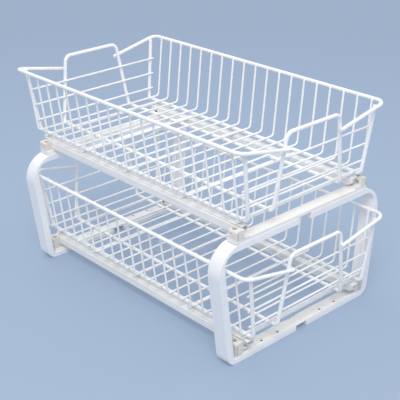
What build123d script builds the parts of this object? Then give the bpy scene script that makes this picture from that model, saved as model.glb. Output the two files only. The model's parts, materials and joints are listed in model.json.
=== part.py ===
"""Two-tier sliding organizer: two wire baskets that pull out of a plastic and steel frame.

Millimetres, +Z up, +X to the right, the baskets pull out towards -Y. The origin is on the surface that
the frame stands on, under the middle of the whole. Each basket is welded from bent wire. It hangs on two
steel runners, and each runner has a roller at its rear end. Each rail on the frame has a roller at its
front end, so a basket is carried by four rollers. Two hoops hold the rails, and each hoop is a left and a
right moulded side that two folded cross bars join.
"""

import os
from math import cos, radians, sin

from build123d import *

# Wire stock and welds
HEAVY = 5.0  # rims, handles, floor and cross wires
THIN = 2.7  # grid and end-wall wires
WELD = 0.1  # gap left between two wires that are welded together
WIRE_SIDES = 6  # the round wires are drawn with this many flats
HEAVY_FACETS = 3  # straight pieces in each bend of a heavy wire
THIN_FACETS = 2  # and of a thin one

# Basket, measured from the middle of its long floor wires
RIM_HALF_WIDTH = 124.8
RIM_HEIGHT = 92.2
RIM_RADIUS = 11.0
RIM_END_HEIGHT = 76.4  # where the rim meets a handle's upright
RIM_OVERHANG = 4.0  # the rim's cut end past that upright
WALL_FOOT = 210.0  # the end walls' uprights at floor level, from the middle
WALL_LEAN = 0.07  # how far the end walls lean out for each millimetre of height
HANDLE_HEIGHT = 95.0
HANDLE_TOP_HALF = 45.0
HANDLE_FOOT_HALF = 59.5
HANDLE_RADIUS = 10.0
GRID_LEAN = 14.2  # how far a wall's foot stands inside the rim
CORNER_INSET = 12.3  # from the rim in to the corner uprights
CORNER_LEAN = 24.8  # how far an outer floor wire stands inside the rim
FLOOR_BEND = 6.0
GRID_COUNT = 19
GRID_PITCH = 22.45
GRID_BEND = 5.5
END_WIRE_HEIGHTS = (16.1, 38.7, 61.3)
END_WIRE_OVERHANG = 3.2  # past the middle of the corner uprights
CROSS_PLACES = (-194.0, -97.0, 15.0, 110.0, 196.0)
CROSS_OVERHANG = 3.0  # past the outer floor wires

# Slides
SHEET = 1.2
RUNNER_INSET = 7.0  # the runner's web stands this far inside the outer floor wire
RUNNER_FLANGE = 10.6
RUNNER_HEIGHT = 10.8
RUNNER_FRONT = -203.0
RUNNER_REAR = 197.0
RAIL_OFFSET = 5.0  # the rail's web stands this far outside the outer floor wire
RAIL_FLOOR_WIDTH = 9.5
RAIL_LIP_WIDTH = 5.0
RAIL_HEIGHT = 11.4
SLIDE_GAP = 0.2  # rail lip to runner flange
ROLLER_GAP = 0.3  # roller to the sheet that it doesn't roll on
FRONT_ROLLER_RADIUS = 4.8
REAR_ROLLER_RADIUS = 4.2
ROLLER_WIDTH = 5.5
FRONT_ROLLER_PLACE = 12.0  # behind the rail's front end
REAR_ROLLER_PLACE = 12.0  # ahead of the runner's rear end
AXLE_RADIUS = 2.0
AXLE_FIT = 0.05
BORE_SIDES = 8
AXLE_HEAD = 3.2
AXLE_HEAD_THICK = 0.8
LIP_CUTAWAY = 24.0  # the rail's lip starts this far behind its front end
STOP_DEPTH = 3.8  # the tab under the lip that stops the basket when it is out
AXLE_SHOULDER = 1.8  # from the runner's web to its roller
TRAVEL = 290.0
STOP_GAP = 0.4

# Frame
HOOP_DEPTH = 20.5
HOOP_SPAN = 400.2  # front face of the front hoop to the rear face of the rear one
RIM_CLEARANCE = 6.2  # lower rims to the hoops' sides
HOOP_SPLAY = 0.114
HOOP_HEIGHT = 160.5
SIDE_THICK = 10.0
TOP_ARM_THICK = 8.5
FOOT_ARM_THICK = 6.5
TOP_GAP_HALF = 11.0  # from the middle to an arm's end
FOOT_GAP_HALF = 9.5
TOP_OUTER_RADIUS = 35.0
TOP_INNER_RADIUS = 16.0
FOOT_OUTER_RADIUS = 14.0
SIDE_CHAMFER = 1.0
BAR_DEPTH = 17.0
TOP_BAR_HEIGHT = 5.0
FOOT_BAR_HEIGHT = 3.0
TIER_GAP = 5.4  # under the lower rails, over the foot bar
BRACKET_WIDTH = 10.6
BRACKET_DEPTH = 14.5
BRACKET_CORNER = 3.0
BRACKET_SEAT = 2.0  # under the head of a bracket's screw
BRACKET_SCREW_PLACE = 9.8  # from the frame's front and rear faces
BRACKET_SLIT = 1.0  # open corner between a bracket's outer wall and its end wall
BRACKET_SLIT_DEPTH = 3.0
BAR_EDGE = 0.8
NUT_WIDTH = 9.0  # welded inside a bar, over an arm's end
MOUNT_HOLE_RADIUS = 1.8
MOUNT_HOLES = (39.5, 68.0)  # from the middle, each side
MOUNT_INSET = 5.0  # from the frame's front and rear faces
WINDOW_MARGIN = 6.0  # the window in a foot arm round those holes
WINDOW_WIDTH = 7.0
BAR_SCREW_PLACE = 24.0
FASTENER_SIDES = 6  # screws, rivets and studs are drawn with this many flats
SCREW_RADIUS = 1.7
SCREW_HEAD_RADIUS = 3.2
SCREW_HEAD_THICK = 1.8
RIVET_RADIUS = 1.6
RIVET_HEAD_RADIUS = 2.4
RIVET_HEAD_THICK = 0.7
RIVET_LENGTH = 4.0
RIVET_PLACE = 4.8  # from the frame's front and rear faces
FIT = 0.1  # fasteners in their holes

# Where the pieces stand at rest, as they were photographed
UPPER_SHIFT = 5.5  # the upper basket stands shut, this far behind the middle of the whole
LOWER_SHIFT = -5.5  # the lower basket stands out a little
HOOP_SHIFT = -2.7  # middle of the two hoops
GRID_SHIFT = 2.5  # the grid isn't quite in the middle of a basket, and the upper one is turned round

# Worked out from the sizes above
GRID_FOOT_HALF = RIM_HALF_WIDTH - GRID_LEAN  # where a grid wire's floor and wall lines meet
CORNER_TOP_HALF = RIM_HALF_WIDTH - CORNER_INSET
CORNER_FOOT_HALF = RIM_HALF_WIDTH - CORNER_LEAN
CROSS_HALF = CORNER_FOOT_HALF + CROSS_OVERHANG
RUNNER_INNER = CORNER_FOOT_HALF - RUNNER_INSET
RAIL_OUTER = CORNER_FOOT_HALF + RAIL_OFFSET
BAR_HALF = RAIL_OUTER + BRACKET_WIDTH
RAIL_BELOW = HEAVY / 2 + WELD + HEAVY + WELD  # top of the runners under the floor wires' middle
LIP_TOP = -RAIL_BELOW - SHEET - SLIDE_GAP
RAIL_BOTTOM = LIP_TOP - RAIL_HEIGHT
UPPER_FLOOR = HOOP_HEIGHT + TOP_BAR_HEIGHT - RAIL_BOTTOM
LOWER_FLOOR = FOOT_ARM_THICK + FOOT_BAR_HEIGHT + TIER_GAP - RAIL_BOTTOM
HOOP_FOOT_HALF = (
    RIM_HALF_WIDTH + HEAVY / 2 + RIM_CLEARANCE + SIDE_THICK - HOOP_SPLAY * (LOWER_FLOOR + RIM_HEIGHT)
)
FRONT_FACE = HOOP_SHIFT - HOOP_SPAN / 2
REAR_FACE = HOOP_SHIFT + HOOP_SPAN / 2
RAIL_FRONT = FRONT_FACE
SHUT_ROLLER = UPPER_SHIFT + RUNNER_REAR - REAR_ROLLER_PLACE
RAIL_REAR = SHUT_ROLLER + REAR_ROLLER_RADIUS + STOP_GAP + SHEET
RAIL_WEB = RAIL_OUTER - SHEET
RUNNER_UNDER = -RAIL_BELOW - SHEET  # underside of the runner's flange
FRONT_ROLLER_Z = RUNNER_UNDER - ROLLER_GAP - FRONT_ROLLER_RADIUS
REAR_ROLLER_Z = RAIL_BOTTOM + SHEET + ROLLER_GAP + REAR_ROLLER_RADIUS
FRONT_ROLLER_X = RAIL_WEB - SHEET - ROLLER_WIDTH / 2
REAR_ROLLER_X = RUNNER_INNER + SHEET + AXLE_SHOULDER + ROLLER_WIDTH / 2
FRONT_ROLLER_Y = RAIL_FRONT + FRONT_ROLLER_PLACE
REAR_ROLLER_Y = RUNNER_REAR - REAR_ROLLER_PLACE


def wall_y(height):
    """How far an end wall's uprights stand from the middle at a height."""
    return WALL_FOOT + WALL_LEAN * height


def block(x0, x1, y0, y1, z0, z1):
    """A box between two corners."""
    size = Box(x1 - x0, y1 - y0, z1 - z0, align=(Align.MIN, Align.MIN, Align.MIN))
    return Pos(x0, y0, z0) * size


def rod(x0, x1, y, z, radius):
    """A round bar along X."""
    turned = Pos(x0, y, z) * Rot(0, 90, 0)
    return turned * Cylinder(radius, x1 - x0, align=(Align.CENTER, Align.CENTER, Align.MIN))


def post(x, y, z0, z1, radius):
    """A round bar along Z."""
    return Pos(x, y, z0) * Cylinder(radius, z1 - z0, align=(Align.CENTER, Align.CENTER, Align.MIN))


def flat_rod(x0, x1, y, z, radius, sides=FASTENER_SIDES):
    """A small bar along X, drawn with flats inside its round."""
    section = Plane(origin=(x0, y, z), x_dir=(0, 1, 0), z_dir=(1, 0, 0)) * RegularPolygon(radius, sides)
    return extrude(section, x1 - x0)


def flat_post(x, y, z0, z1, radius):
    """A small bar along Z, drawn with flats inside its round."""
    return extrude(Pos(x, y, z0) * RegularPolygon(radius, FASTENER_SIDES), z1 - z0)


def bend_points(before, corner, after, radius, facets):
    """Points on the bend between two straight runs."""
    into = (before - corner).normalized()
    out = (after - corner).normalized()
    half = radians(into.get_angle(out)) / 2
    centre = corner + (into + out).normalized() * (radius / sin(half))
    toward = (corner - centre).normalized()
    across = (out - into).normalized()
    turn = radians(90) - half
    angles = [turn * (2 * i / facets - 1) for i in range(facets + 1)]
    return [centre + toward * (radius * cos(a)) + across * (radius * sin(a)) for a in angles]


def bent_wire(points, radii, thickness=HEAVY, facets=HEAVY_FACETS):
    """A wire through points, with a bend of its own radius at each inner one."""
    route = [Vector(*point) for point in points]
    line = [route[0]]
    for i, radius in enumerate(radii, 1):
        line += bend_points(route[i - 1], route[i], route[i + 1], radius, facets)
    line += [route[-1]]
    path = Polyline(*line)
    start = Plane(origin=path @ 0, z_dir=path % 0)
    section = start * RegularPolygon(thickness / 2, WIRE_SIDES)
    return sweep(section, path=path, transition=Transition.RIGHT)


def straight_wire(half, y, z, thickness):
    """A wire across the basket."""
    return flat_rod(-half, half, y, z, thickness / 2, WIRE_SIDES)


def mirrored(solid):
    """The left piece that answers a right one."""
    return mirror(solid, about=Plane.YZ)


# Basket wires, right-hand side first


def rim_wire():
    """One side of the rim: along the side, round both corners and down to the handles."""
    reach = wall_y(RIM_HEIGHT) + HEAVY + WELD
    end_y = wall_y(RIM_END_HEIGHT) + HEAVY + WELD
    upright = handle_half(RIM_END_HEIGHT)
    slope = (RIM_HEIGHT - RIM_END_HEIGHT) / (RIM_HALF_WIDTH - upright)
    end_x = upright - RIM_OVERHANG
    end_z = RIM_END_HEIGHT - slope * RIM_OVERHANG
    points = [
        (end_x, -end_y, end_z),
        (RIM_HALF_WIDTH, -reach, RIM_HEIGHT),
        (RIM_HALF_WIDTH, reach, RIM_HEIGHT),
        (end_x, end_y, end_z),
    ]
    return bent_wire(points, [RIM_RADIUS, RIM_RADIUS])


def handle_half(height):
    """Half the width of the handle loop at a height."""
    return HANDLE_FOOT_HALF + (HANDLE_TOP_HALF - HANDLE_FOOT_HALF) * height / HANDLE_HEIGHT


def handle_loop():
    """Both handles and the two inner floor wires, bent from one length and butt welded."""
    top = wall_y(HANDLE_HEIGHT)
    foot = wall_y(0)
    points = [
        (0, -top, HANDLE_HEIGHT),
        (HANDLE_TOP_HALF, -top, HANDLE_HEIGHT),
        (HANDLE_FOOT_HALF, -foot, 0),
        (HANDLE_FOOT_HALF, foot, 0),
        (HANDLE_TOP_HALF, top, HANDLE_HEIGHT),
        (0, top, HANDLE_HEIGHT),
    ]
    half = bent_wire(points, [HANDLE_RADIUS, FLOOR_BEND, FLOOR_BEND, HANDLE_RADIUS])
    return Compound(children=[half, mirrored(half)])


def floor_wire():
    """An outer floor wire, which turns up at both ends to carry the rim's corners."""
    slope = (RIM_HEIGHT - RIM_END_HEIGHT) / (RIM_HALF_WIDTH - handle_half(RIM_END_HEIGHT))
    top = RIM_HEIGHT - slope * (RIM_HALF_WIDTH - CORNER_TOP_HALF)
    points = [
        (CORNER_TOP_HALF, -wall_y(top), top),
        (CORNER_FOOT_HALF, -wall_y(0), 0),
        (CORNER_FOOT_HALF, wall_y(0), 0),
        (CORNER_TOP_HALF, wall_y(top), top),
    ]
    return bent_wire(points, [FLOOR_BEND, FLOOR_BEND])


def grid_wires(shift):
    """The thin U-shaped wires that make the floor and the long walls."""
    floor = HEAVY / 2 + WELD + THIN / 2
    top_half = RIM_HALF_WIDTH - HEAVY / 2 - WELD - THIN / 2
    points = [
        (top_half, 0, RIM_HEIGHT + WELD),
        (GRID_FOOT_HALF, 0, floor),
        (-GRID_FOOT_HALF, 0, floor),
        (-top_half, 0, RIM_HEIGHT + WELD),
    ]
    wire = bent_wire(points, [GRID_BEND, GRID_BEND], THIN, THIN_FACETS)
    first = -(GRID_COUNT - 1) / 2
    return [Pos(0, shift + (first + i) * GRID_PITCH, 0) * wire for i in range(GRID_COUNT)]


def end_wires(side):
    """The thin level wires inside one end wall."""
    wires = []
    for height in END_WIRE_HEIGHTS:
        rise = height / RIM_HEIGHT
        half = CORNER_FOOT_HALF + (CORNER_TOP_HALF - CORNER_FOOT_HALF) * rise + END_WIRE_OVERHANG
        y = side * (wall_y(height) - HEAVY / 2 - WELD - THIN / 2)
        wires.append(straight_wire(half, y, height, THIN))
    return wires


def cross_wires():
    """The heavy wires under the floor, which rest on the runners."""
    return [straight_wire(CROSS_HALF, y, -HEAVY - WELD, HEAVY) for y in CROSS_PLACES]


# Slides, right-hand side first


def runner():
    """The basket's half of a slide: an angle whose flange lies under the cross wires."""
    top = -RAIL_BELOW
    web_face = RUNNER_INNER + SHEET
    flange = block(
        RUNNER_INNER, RUNNER_INNER + RUNNER_FLANGE, RUNNER_FRONT, RUNNER_REAR, top - SHEET, top
    )
    web = block(
        RUNNER_INNER, web_face, RUNNER_FRONT, RUNNER_REAR, top - RUNNER_HEIGHT, top
    )
    angle = flange + web
    hole = flat_rod(RUNNER_INNER, web_face, REAR_ROLLER_Y, REAR_ROLLER_Z, AXLE_RADIUS + FIT)
    nose = angle.edges().filter_by(Axis.X).group_by(Axis.Y)[0].sort_by(Axis.Z)[0]
    return chamfer(nose, RUNNER_HEIGHT / 2) - hole


def roller(x, y, z, radius):
    """A nylon roller with a bore for its axle."""
    half = ROLLER_WIDTH / 2
    bore = (AXLE_RADIUS + AXLE_FIT) / cos(radians(180 / BORE_SIDES))
    return rod(x - half, x + half, y, z, radius) - flat_rod(x - half, x + half, y, z, bore, BORE_SIDES)


def rear_axle():
    """The stud riveted to the runner's web, with a head that keeps the roller on."""
    y, z = REAR_ROLLER_Y, REAR_ROLLER_Z
    face = REAR_ROLLER_X + ROLLER_WIDTH / 2 + WELD
    stud = flat_rod(RUNNER_INNER, face, y, z, AXLE_RADIUS)
    collar = flat_rod(RUNNER_INNER + SHEET, REAR_ROLLER_X - ROLLER_WIDTH / 2 - WELD, y, z, AXLE_HEAD)
    return stud + collar + flat_rod(face, face + AXLE_HEAD_THICK, y, z, AXLE_HEAD)


def front_axle():
    """The stud riveted to the rail's web, with a head that keeps the roller on."""
    y, z = FRONT_ROLLER_Y, FRONT_ROLLER_Z
    face = FRONT_ROLLER_X - ROLLER_WIDTH / 2 - WELD
    stud = flat_rod(face, RAIL_OUTER, y, z, AXLE_RADIUS)
    collar = flat_rod(FRONT_ROLLER_X + ROLLER_WIDTH / 2 + WELD, RAIL_WEB, y, z, AXLE_HEAD)
    return stud + collar + flat_rod(face - AXLE_HEAD_THICK, face, y, z, AXLE_HEAD)


def rivet_y(front):
    """Where a rail is riveted to its front or rear bracket."""
    return RAIL_FRONT + RIVET_PLACE if front else REAR_FACE - RIVET_PLACE


def rivet_z():
    """Height of the rivets in a rail's web."""
    return RAIL_BOTTOM + RAIL_HEIGHT / 2


def rail():
    """The frame's half of a slide: a channel that the rear roller runs in."""
    bottom, top = RAIL_BOTTOM, LIP_TOP
    inner = RAIL_OUTER - RAIL_FLOOR_WIDTH
    lip = RAIL_OUTER - RAIL_LIP_WIDTH
    web = block(RAIL_WEB, RAIL_OUTER, RAIL_FRONT, RAIL_REAR, bottom, top)
    floor = block(inner, RAIL_OUTER, RAIL_FRONT, RAIL_REAR, bottom, bottom + SHEET)
    cover = block(lip, RAIL_OUTER, RAIL_FRONT + LIP_CUTAWAY, RAIL_REAR, top - SHEET, top)
    rear_stop = block(inner, RAIL_OUTER, RAIL_REAR - SHEET, RAIL_REAR, bottom, top)
    out = SHUT_ROLLER - TRAVEL - REAR_ROLLER_RADIUS - STOP_GAP
    front_stop = block(lip, RAIL_WEB, out - SHEET, out, top - STOP_DEPTH, top)
    channel = web + floor + cover + rear_stop + front_stop
    channel -= flat_rod(RAIL_WEB, RAIL_OUTER, FRONT_ROLLER_Y, FRONT_ROLLER_Z, AXLE_RADIUS + FIT)
    for front in (True, False):
        channel -= flat_rod(RAIL_WEB, RAIL_OUTER, rivet_y(front), rivet_z(), RIVET_RADIUS + FIT)
    return channel


def bracket(front, standing):
    """The moulded block that holds one end of a rail on a cross bar."""
    y0 = FRONT_FACE if front else REAR_FACE - BRACKET_DEPTH
    y1 = y0 + BRACKET_DEPTH
    bottom = RAIL_BOTTOM - standing
    body = block(RAIL_OUTER, RAIL_OUTER + BRACKET_WIDTH, y0, y1, bottom, LIP_TOP)
    outer_top = body.edges().filter_by(Axis.Y).group_by(Axis.Z)[-1].sort_by(Axis.X)[-1]
    body = fillet(outer_top, BRACKET_CORNER)
    end, inward = (y0, 1) if front else (y1, -1)
    slit = sorted((end, end + inward * BRACKET_SLIT_DEPTH))
    wall = RAIL_OUTER + BRACKET_WIDTH - SHEET
    body -= block(wall - BRACKET_SLIT, wall, *slit, bottom, LIP_TOP - BRACKET_CORNER)
    x, y = bracket_screw_place(front)
    body -= flat_post(x, y, bottom, LIP_TOP, SCREW_RADIUS + FIT)
    body -= flat_post(x, y, bottom + BRACKET_SEAT, LIP_TOP, SCREW_HEAD_RADIUS + FIT)
    rivet_end = RAIL_OUTER + RIVET_LENGTH - SHEET
    return body - flat_rod(RAIL_OUTER, rivet_end, rivet_y(front), rivet_z(), RIVET_RADIUS + FIT)


def bracket_screw_place(front):
    """Where the screw of a right-hand bracket stands."""
    y = FRONT_FACE + BRACKET_SCREW_PLACE if front else REAR_FACE - BRACKET_SCREW_PLACE
    return RAIL_OUTER + BRACKET_WIDTH / 2, y


def rivet(front):
    """A rivet from inside a rail into its bracket."""
    y, z = rivet_y(front), rivet_z()
    shank = flat_rod(RAIL_WEB, RAIL_WEB + RIVET_LENGTH, y, z, RIVET_RADIUS)
    return shank + flat_rod(RAIL_WEB - RIVET_HEAD_THICK, RAIL_WEB, y, z, RIVET_HEAD_RADIUS)


# Frame, right-hand side first


def hoop_half(height):
    """Half the width over a hoop at a height."""
    return HOOP_FOOT_HALF + HOOP_SPLAY * height


def front_view(outline, rounds):
    """A solid as deep as a hoop, from its front view and the radii of some of its corners."""
    face = make_face(Polyline(*outline, close=True))
    for i, radius in rounds.items():
        corner = face.vertices().sort_by_distance((*outline[i], 0))[0]
        face = fillet(corner, radius)
    return extrude(Plane.XZ * face, -HOOP_DEPTH)


def hoop_side(front):
    """One moulded side of a hoop, with an arm at its foot and one at its top."""
    arm_under = HOOP_HEIGHT - TOP_ARM_THICK
    outer = [(0, 0), (hoop_half(0), 0), (hoop_half(HOOP_HEIGHT), HOOP_HEIGHT), (0, HOOP_HEIGHT)]
    inner = [
        (0, FOOT_ARM_THICK),
        (hoop_half(FOOT_ARM_THICK) - SIDE_THICK, FOOT_ARM_THICK),
        (hoop_half(arm_under) - SIDE_THICK, arm_under),
        (0, arm_under),
    ]
    side = front_view(outer, {1: FOOT_OUTER_RADIUS, 2: TOP_OUTER_RADIUS})
    side = chamfer(side.faces().filter_by(Axis.Y).edges(), SIDE_CHAMFER)
    side -= front_view(inner, {2: TOP_INNER_RADIUS})
    side -= block(0, FOOT_GAP_HALF, 0, HOOP_DEPTH, 0, FOOT_ARM_THICK)
    side -= block(0, TOP_GAP_HALF, 0, HOOP_DEPTH, arm_under, HOOP_HEIGHT)
    side = Pos(0, FRONT_FACE if front else REAR_FACE - HOOP_DEPTH, 0) * side
    y = mount_y(front)
    first, last = MOUNT_HOLES[0] - WINDOW_MARGIN, MOUNT_HOLES[-1] + WINDOW_MARGIN
    side -= block(first, last, y - WINDOW_WIDTH / 2, y + WINDOW_WIDTH / 2, 0, FOOT_ARM_THICK)
    y = bar_middle(front)
    side -= flat_post(BAR_SCREW_PLACE, y, 0, HOOP_HEIGHT, SCREW_RADIUS + FIT)
    side -= flat_post(BAR_SCREW_PLACE, y, 0, SCREW_HEAD_THICK + 2 * FIT, SCREW_HEAD_RADIUS + FIT)
    x, y = bracket_screw_place(front)
    return side - flat_post(x, y, SCREW_HEAD_THICK, HOOP_HEIGHT, SCREW_RADIUS + FIT)


def bar_middle(front):
    """The line along which a cross bar's holes stand."""
    return FRONT_FACE + BAR_DEPTH / 2 if front else REAR_FACE - BAR_DEPTH / 2


def mount_y(front):
    """The line along which the holes for the cabinet's screws stand."""
    return FRONT_FACE + MOUNT_INSET if front else REAR_FACE - MOUNT_INSET


def cross_bar(front, bottom, height, mounting):
    """A folded bar that joins the arms of a hoop: a shallow pan, open below, with a nut at each arm's end."""
    y0 = FRONT_FACE if front else REAR_FACE - BAR_DEPTH
    y1 = y0 + BAR_DEPTH
    outer = block(-BAR_HALF, BAR_HALF, y0, y1, bottom, bottom + height)
    outer = chamfer(outer.edges().filter_by(Axis.X).group_by(Axis.Z)[-1], BAR_EDGE)
    skin = bottom + height - SHEET
    half = BAR_HALF - SHEET
    bar = outer - block(-half, half, y0 + SHEET, y1 - SHEET, bottom, skin)
    x, y = bracket_screw_place(front)
    for side in (-1, 1):
        nut = side * BAR_SCREW_PLACE
        bar += block(nut - NUT_WIDTH / 2, nut + NUT_WIDTH / 2, y0 + SHEET, y1 - SHEET, bottom, skin)
        bar -= flat_post(nut, bar_middle(front), bottom, skin, SCREW_RADIUS + FIT)
        bar -= flat_post(side * x, y, bottom, bottom + height, SCREW_RADIUS + FIT)
        for hole in mounting:
            bar -= post(side * hole, mount_y(front), bottom, bottom + height, MOUNT_HOLE_RADIUS)
    return bar


def bar_screw(front, under, over):
    """A screw from under an arm up into the nut in its cross bar."""
    x, y = BAR_SCREW_PLACE, bar_middle(front)
    head = flat_post(x, y, under, under + SCREW_HEAD_THICK, SCREW_HEAD_RADIUS)
    return head + flat_post(x, y, under, over, SCREW_RADIUS)


def bracket_screw(front, seat, depth):
    """A screw down through a bracket and its bar into the arm."""
    x, y = bracket_screw_place(front)
    head = flat_post(x, y, seat, seat + SCREW_HEAD_THICK, SCREW_HEAD_RADIUS)
    return head + flat_post(x, y, seat - depth, seat, SCREW_RADIUS)


def save(name, *solids):
    """Write one node."""
    flat = [solid for piece in solids for solid in piece.solids()]
    shape = flat[0] if len(flat) == 1 else Compound(children=flat)
    export_step(shape, f"parts/{name}.step")


def both(right):
    """A right-hand piece and its mirror image."""
    return [right, mirrored(right)]


def save_basket(tier, shift, floor, grid_shift):
    """Write the pieces of one basket and its runners."""
    place = Pos(0, shift, floor)
    rear_roller = roller(REAR_ROLLER_X, REAR_ROLLER_Y, REAR_ROLLER_Z, REAR_ROLLER_RADIUS)
    pairs = {"rim": rim_wire(), "floor_wire": floor_wire(), "runner": runner(), "rear_roller": rear_roller}
    for name, right in pairs.items():
        save(f"{tier}_{name}_right", place * right)
        save(f"{tier}_{name}_left", place * mirrored(right))
    save(f"{tier}_handle_loop", place * handle_loop())
    save(f"{tier}_grid_wires", *[place * wire for wire in grid_wires(grid_shift)])
    save(f"{tier}_end_wires_front", *[place * wire for wire in end_wires(-1)])
    save(f"{tier}_end_wires_rear", *[place * wire for wire in end_wires(1)])
    save(f"{tier}_cross_wires", *[place * wire for wire in cross_wires()])
    save(f"{tier}_rear_axles", *[place * axle for axle in both(rear_axle())])


def save_rails(tier, floor, standing):
    """Write the frame's half of one tier's slides."""
    place = Pos(0, 0, floor)
    front_roller = roller(FRONT_ROLLER_X, FRONT_ROLLER_Y, FRONT_ROLLER_Z, FRONT_ROLLER_RADIUS)
    pairs = {
        "rail": rail(),
        "front_roller": front_roller,
        "bracket_front": bracket(True, standing),
        "bracket_rear": bracket(False, standing),
    }
    for name, right in pairs.items():
        save(f"{tier}_{name}_right", place * right)
        save(f"{tier}_{name}_left", place * mirrored(right))


def save_frame():
    """Write the hoops, their bars and all of the frame's fasteners."""
    foot_seat = FOOT_ARM_THICK + FOOT_BAR_HEIGHT
    top_seat = HOOP_HEIGHT + TOP_BAR_HEIGHT
    foot_reach = foot_seat - SCREW_HEAD_THICK + BRACKET_SEAT
    top_reach = TOP_ARM_THICK + BRACKET_SEAT
    bar_screws, bracket_screws = [], []
    for end, front in (("front", True), ("rear", False)):
        right = hoop_side(front)
        save(f"{end}_side_right", right)
        save(f"{end}_side_left", mirrored(right))
        save(f"{end}_foot_bar", cross_bar(front, FOOT_ARM_THICK, FOOT_BAR_HEIGHT, MOUNT_HOLES))
        save(f"{end}_top_bar", cross_bar(front, HOOP_HEIGHT, TOP_BAR_HEIGHT, []))
        arm_under = HOOP_HEIGHT - TOP_ARM_THICK
        bar_screws += both(bar_screw(front, FIT, foot_seat - SHEET))
        bar_screws += both(bar_screw(front, arm_under - SCREW_HEAD_THICK, top_seat - SHEET))
        bracket_screws += both(bracket_screw(front, foot_seat + BRACKET_SEAT, foot_reach))
        bracket_screws += both(bracket_screw(front, top_seat + BRACKET_SEAT, top_reach))
    save("bar_screws", *bar_screws)
    save("bracket_screws", *bracket_screws)
    rivets, axles = [], []
    for floor in (LOWER_FLOOR, UPPER_FLOOR):
        place = Pos(0, 0, floor)
        rivets += [place * piece for front in (True, False) for piece in both(rivet(front))]
        axles += [place * piece for piece in both(front_axle())]
    save("rail_rivets", *rivets)
    save("front_axles", *axles)


os.makedirs("parts", exist_ok=True)
save_basket("upper", UPPER_SHIFT, UPPER_FLOOR, -GRID_SHIFT)
save_basket("lower", LOWER_SHIFT, LOWER_FLOOR, GRID_SHIFT)
save_rails("upper", UPPER_FLOOR, 0)
save_rails("lower", LOWER_FLOOR, TIER_GAP)
save_frame()
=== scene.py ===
"""Looks for the two-tier sliding organizer: coated wire baskets on roller slides in a moulded frame."""

import json
from math import cos, pi, radians, sin

import bmesh
import bpy
from bpy.props import FloatProperty, FloatVectorProperty, IntProperty, PointerProperty
from mathutils import Matrix, Vector

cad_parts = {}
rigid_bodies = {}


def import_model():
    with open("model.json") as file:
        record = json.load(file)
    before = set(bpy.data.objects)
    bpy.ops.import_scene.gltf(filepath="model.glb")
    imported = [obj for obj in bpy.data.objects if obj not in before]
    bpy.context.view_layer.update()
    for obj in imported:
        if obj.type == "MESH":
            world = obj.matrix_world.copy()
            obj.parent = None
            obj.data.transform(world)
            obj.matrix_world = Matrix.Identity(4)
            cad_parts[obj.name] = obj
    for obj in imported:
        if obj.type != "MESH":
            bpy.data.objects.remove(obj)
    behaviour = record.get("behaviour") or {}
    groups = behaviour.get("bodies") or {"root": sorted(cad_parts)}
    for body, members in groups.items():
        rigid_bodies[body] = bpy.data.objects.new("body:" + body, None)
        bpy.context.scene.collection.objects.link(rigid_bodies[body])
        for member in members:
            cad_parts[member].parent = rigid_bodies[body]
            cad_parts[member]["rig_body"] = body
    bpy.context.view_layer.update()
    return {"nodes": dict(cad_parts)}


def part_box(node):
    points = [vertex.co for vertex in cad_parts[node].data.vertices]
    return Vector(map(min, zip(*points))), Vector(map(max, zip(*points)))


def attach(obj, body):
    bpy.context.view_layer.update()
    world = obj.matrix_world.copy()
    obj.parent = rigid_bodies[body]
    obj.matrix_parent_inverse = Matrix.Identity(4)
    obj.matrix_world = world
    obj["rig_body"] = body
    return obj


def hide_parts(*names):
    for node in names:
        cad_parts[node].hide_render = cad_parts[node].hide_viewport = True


bl_info = {
    "name": "Two-tier sliding organizer",
    "version": (1, 0, 0),
    "blender": (4, 5, 0),
    "location": "3D View > Sidebar > Organizer",
    "description": "Builds the wire baskets, slides and frame of a two-tier sliding organizer",
    "category": "Add Mesh",
}

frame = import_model()

MM = 0.001
TIERS = ("upper", "lower")
HANDS = {"right": 1, "left": -1}
ENDS = {"front": -1, "rear": 1}

# Millimetres from the middle of a basket's floor wires, as the solids have them
TOUCH = 0.1  # gap left at a weld
RUNNER_TOP = -7.7
RUNNER_FRONT, RUNNER_REAR = -203.0, 197.0
RUNNER_INNER, RUNNER_OUTER, RUNNER_FOOT = 93.0, 103.6, -18.5
RUNNER_NOSE = 5.4
RAIL_OUTER, RAIL_FLOOR, RAIL_LIP = 105.0, 95.5, 100.0
RAIL_BOTTOM, RAIL_TOP = -20.5, -9.1
RIVET_LEVEL = (RAIL_BOTTOM + RAIL_TOP) / 2
LIP_CUTAWAY = 24.0  # the rail's lip starts this far behind its front end
OUT_STOP, OUT_STOP_DEPTH = 98.7, 3.8  # the tab that stops a basket when it is out

# Millimetres above the ground
TOP_ARM_UNDER, HOOP_TOP, TOP_BAR_TOP = 152.0, 160.5, 165.5
FOOT_ARM_TOP, FOOT_BAR_TOP = 6.5, 9.5

# Millimetres, for the frame. A depth or an inset is measured from the frame's front or rear face.
HOOP_FOOT_HALF, HOOP_SPLAY = 128.95, 0.114  # half the width at the ground, and its growth with height
SIDE_THICK, HOOP_DEPTH = 10.0, 20.5
FOOT_GAP, TOP_GAP = 9.5, 11.0  # from the middle to where the arms end
HOOP_BENDS = {1: 14.0, 2: 35.0, 5: 16.0, 6: 3.0}  # radius at corners of a hoop side's outline, from 0
BAR_DEPTH = 17.0
BAR_SETBACK = 0.6  # the bar's face stands this far behind the hoop's, so the arm's edge shows under it
BAR_SCREW, NUT_WIDTH = 24.0, 9.0
MOUNT_HOLES, MOUNT_INSET, MOUNT_RADIUS = (39.5, 68.0), 5.0, 1.8
WINDOW_MARGIN, WINDOW_WIDTH = 6.0, 7.0  # the opening in the foot arm under the mounting holes
BRACKET_SCREW, BRACKET_SCREW_INSET, BRACKET_SEAT = 110.3, 9.8, 2.0
BRACKET_DEPTH, BRACKET_WALL, BRACKET_BEND = 14.5, 0.9, 3.0
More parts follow.
